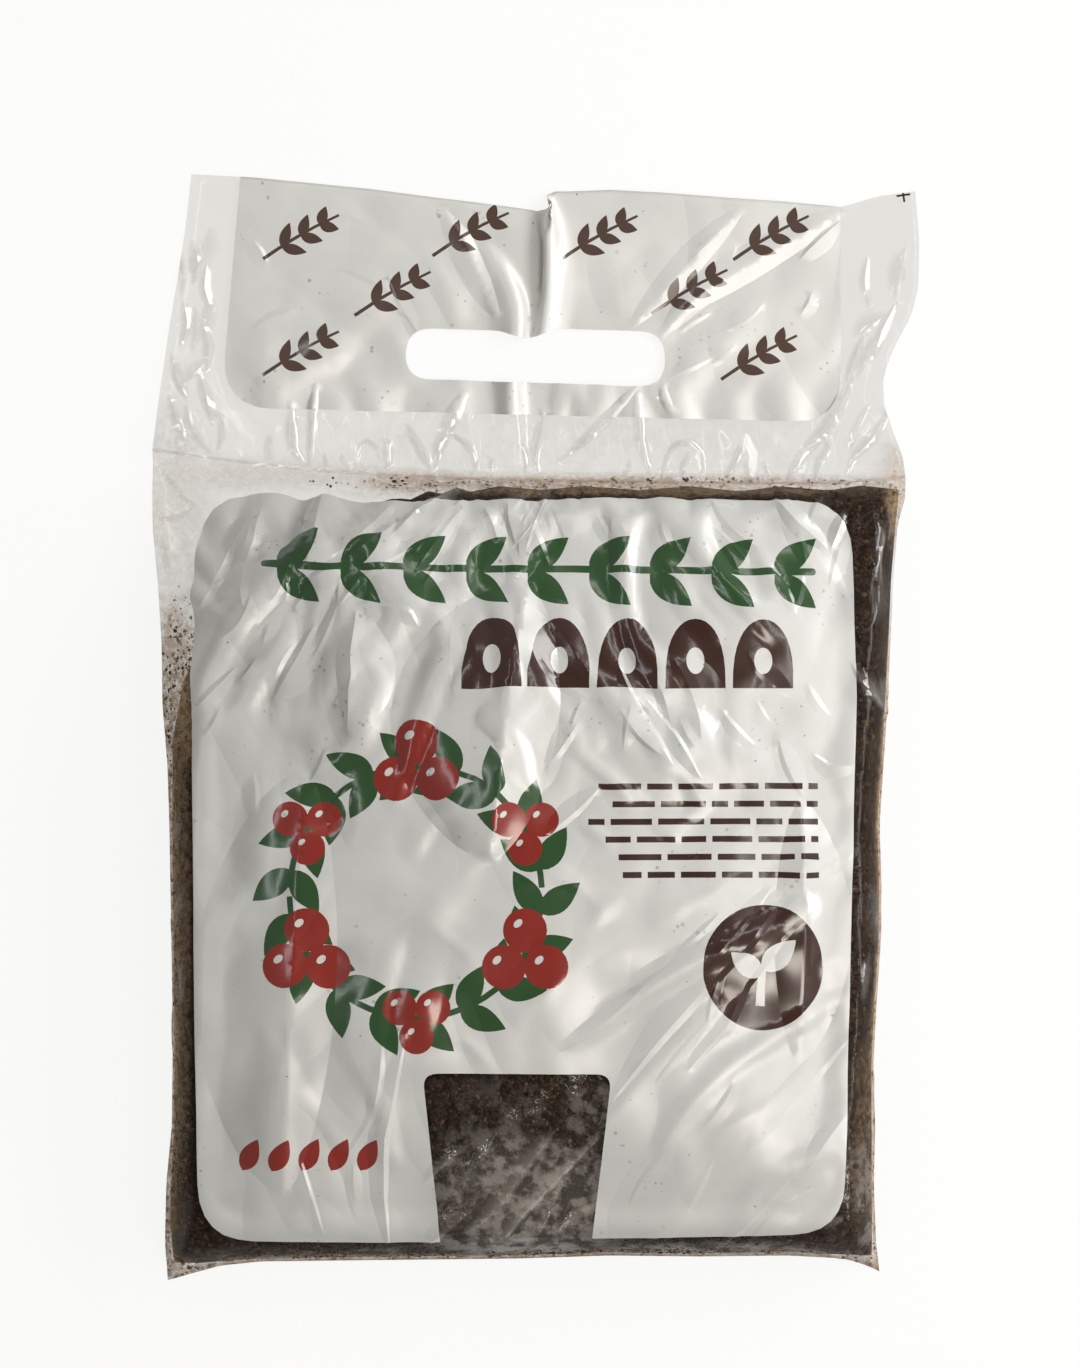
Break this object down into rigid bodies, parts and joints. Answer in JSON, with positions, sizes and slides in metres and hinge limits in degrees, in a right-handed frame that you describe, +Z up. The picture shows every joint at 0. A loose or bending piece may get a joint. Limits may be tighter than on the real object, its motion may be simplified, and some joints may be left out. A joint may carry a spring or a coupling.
{
  "type": "compost bag",
  "caption": "Clear film bag of compost lying on its back: pillow body with a pot-shaped window in its printed front, flat header with a punched hand slot.",
  "frame": {"origin": "on the surface the bag lies on, under the middle of its box", "axes": "+X to the right of the printed front, +Y from the foot towards the open mouth of the header, +Z up, out of the printed front"},
  "size_m": [0.23, 0.334, 0.042],
  "materials": {
    "film": "clear film with satin white print",
    "compost": "matte crumbs"
  },
  "bodies": {
    "root": {"film_bag": "film", "compost_fill": "compost"}
  },
  "joints": []
}
